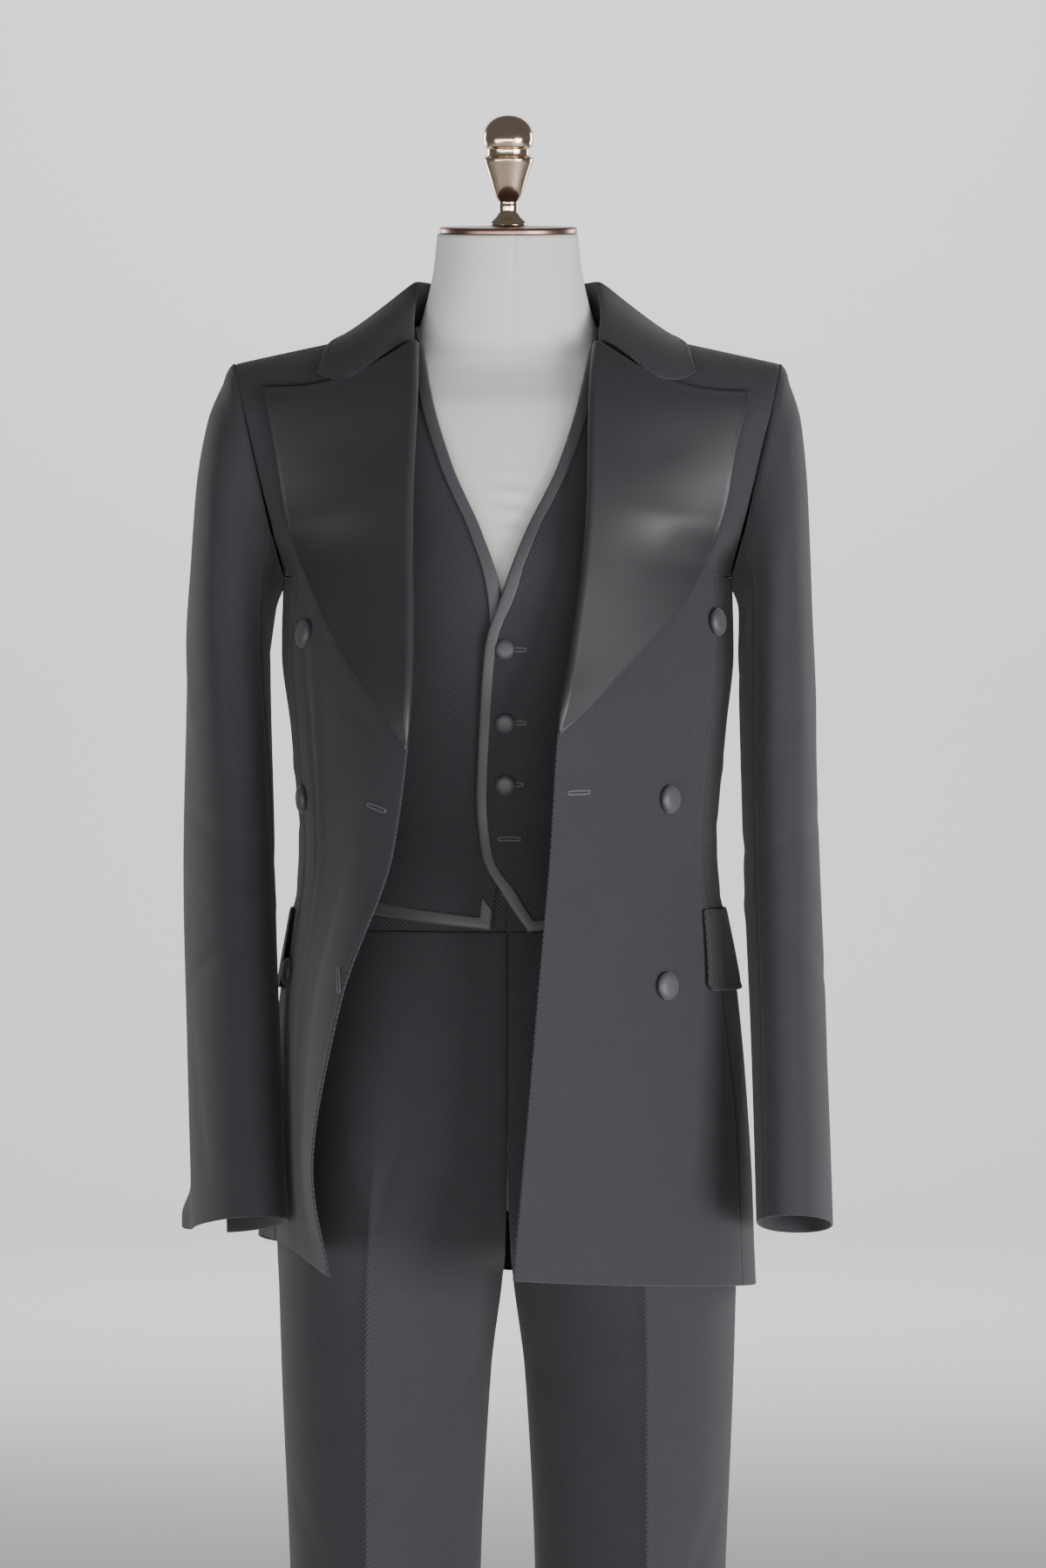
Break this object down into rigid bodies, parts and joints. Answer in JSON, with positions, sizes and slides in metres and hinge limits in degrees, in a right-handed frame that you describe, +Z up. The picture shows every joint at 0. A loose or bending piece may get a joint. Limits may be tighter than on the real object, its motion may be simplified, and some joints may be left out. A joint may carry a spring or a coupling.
{
  "type": "tuxedo suit on a dress form",
  "caption": "three-piece dinner suit with a double-breasted satin-lapelled jacket worn open over a waistcoat and creased trousers, standing on a limbless dress form",
  "frame": {"origin": "on the floor, at the centre of the round base plate, under the middle of the form", "axes": "+Z up, -Y the front of the suit, +X the wearer's left"},
  "size_m": [0.4805, 0.4272, 1.6925],
  "materials": {
    "wool_twill": "dark charcoal wool twill, matt with a dry sheen",
    "satin": "dark grey satin, smooth with a broad soft gloss",
    "satin_button": "button covered with dark grey satin",
    "form_linen": "natural undyed linen, matt",
    "cap_copper": "brown copper, polished",
    "finial_brass": "rose-gold brass, turned and polished",
    "stand_metal": "black powder coat"
  },
  "bodies": {
    "root": {"form_torso": "form_linen", "neck_cap": "cap_copper", "finial": "finial_brass", "base_plate": "stand_metal", "pole": "stand_metal", "hip_plate": "stand_metal", "jacket_front_left": "wool_twill", "jacket_side_left": "wool_twill", "jacket_back_left": "wool_twill", "jacket_front_right": "wool_twill", "jacket_side_right": "wool_twill", "jacket_back_right": "wool_twill", "lapel_left": "satin", "lapel_right": "satin", "collar": "wool_twill", "sleeve_upper_left": "wool_twill", "sleeve_under_left": "wool_twill", "sleeve_upper_right": "wool_twill", "sleeve_under_right": "wool_twill", "pocket_flap_left": "wool_twill", "pocket_flap_right": "wool_twill", "jacket_button_left_top": "satin_button", "jacket_button_left_waist": "satin_button", "jacket_button_left_lower": "satin_button", "jacket_button_right_top": "satin_button", "jacket_button_right_waist": "satin_button", "jacket_button_right_lower": "satin_button", "cuff_button_left_1": "satin_button", "cuff_button_left_2": "satin_button", "cuff_button_left_3": "satin_button", "cuff_button_right_1": "satin_button", "cuff_button_right_2": "satin_button", "cuff_button_right_3": "satin_button", "waistcoat_front_left": "wool_twill", "waistcoat_front_right": "wool_twill", "waistcoat_binding_left": "satin", "waistcoat_binding_neck_right": "satin", "waistcoat_binding_hem_right": "satin", "waistcoat_back": "wool_twill", "waistcoat_button_1": "satin_button", "waistcoat_button_2": "satin_button", "waistcoat_button_3": "satin_button", "trouser_front_left": "wool_twill", "trouser_back_left": "wool_twill", "trouser_front_right": "wool_twill", "trouser_back_right": "wool_twill", "waistband": "wool_twill"}
  },
  "joints": []
}
